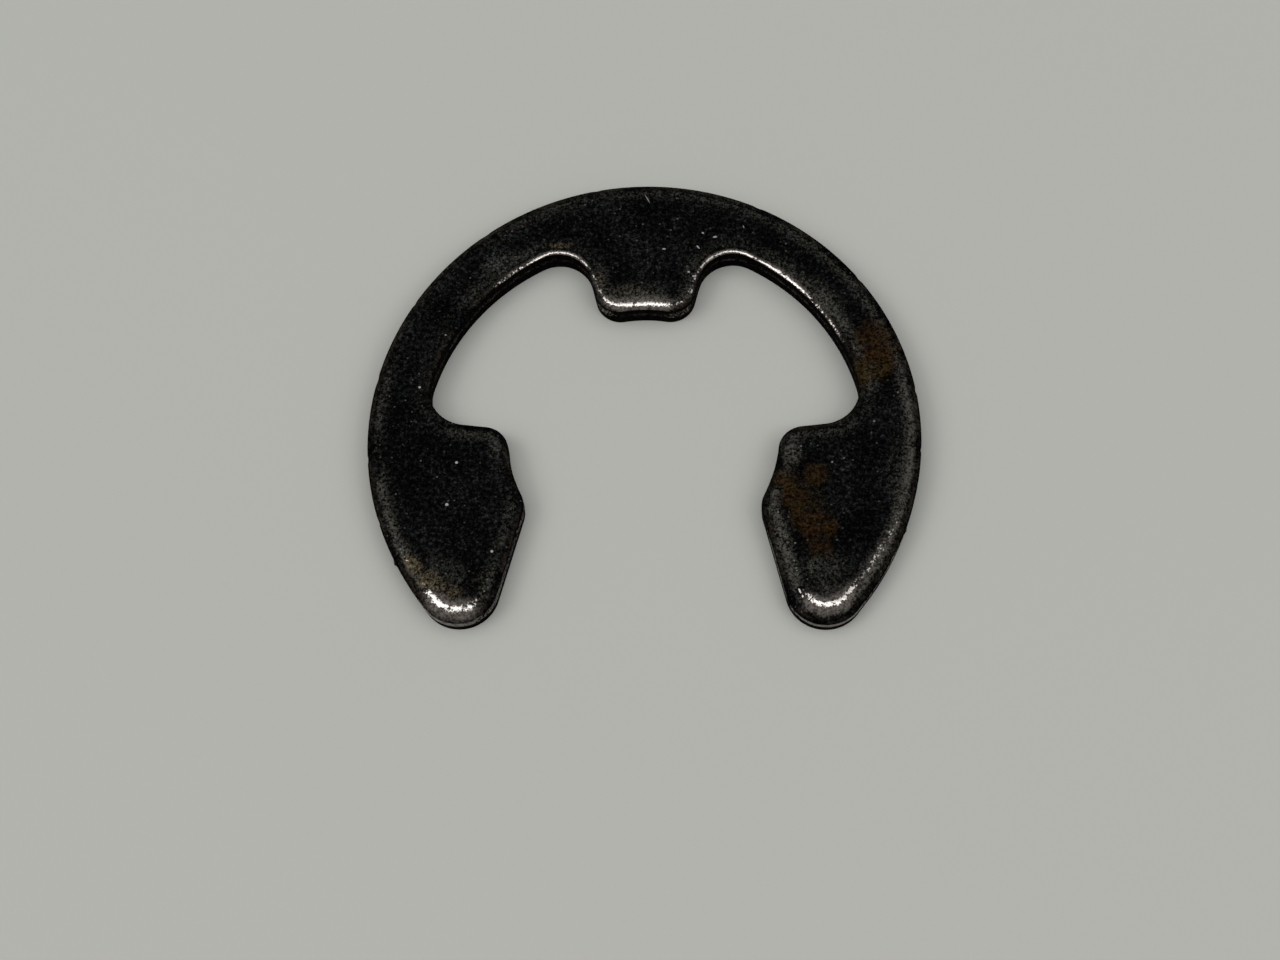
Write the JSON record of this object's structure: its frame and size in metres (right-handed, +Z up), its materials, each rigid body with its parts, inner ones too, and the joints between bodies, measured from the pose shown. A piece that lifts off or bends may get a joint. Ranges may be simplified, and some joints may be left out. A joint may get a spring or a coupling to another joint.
{
  "type": "e-clip retaining ring",
  "caption": "Flat E-shaped spring steel retaining ring with a prong and two pads, pushed sideways into a shaft groove to hold parts axially; black finish, worn and spotted with rust.",
  "frame": {"origin": "middle of the seat circle, which the prong and the two pads bear on, on the flat underside", "axes": "+Z up, through the thickness, along the shaft's axis; +Y from the origin to the prong; the mouth opens towards -Y and +X points to the right-hand arm"},
  "size_m": [0.0204, 0.0174, 0.0012],
  "materials": {
    "black_steel": "black oxide on spring steel, worn bright on the rolled edges, with brown rust stains"
  },
  "bodies": {
    "root": {"e_clip": "black_steel"}
  },
  "joints": []
}
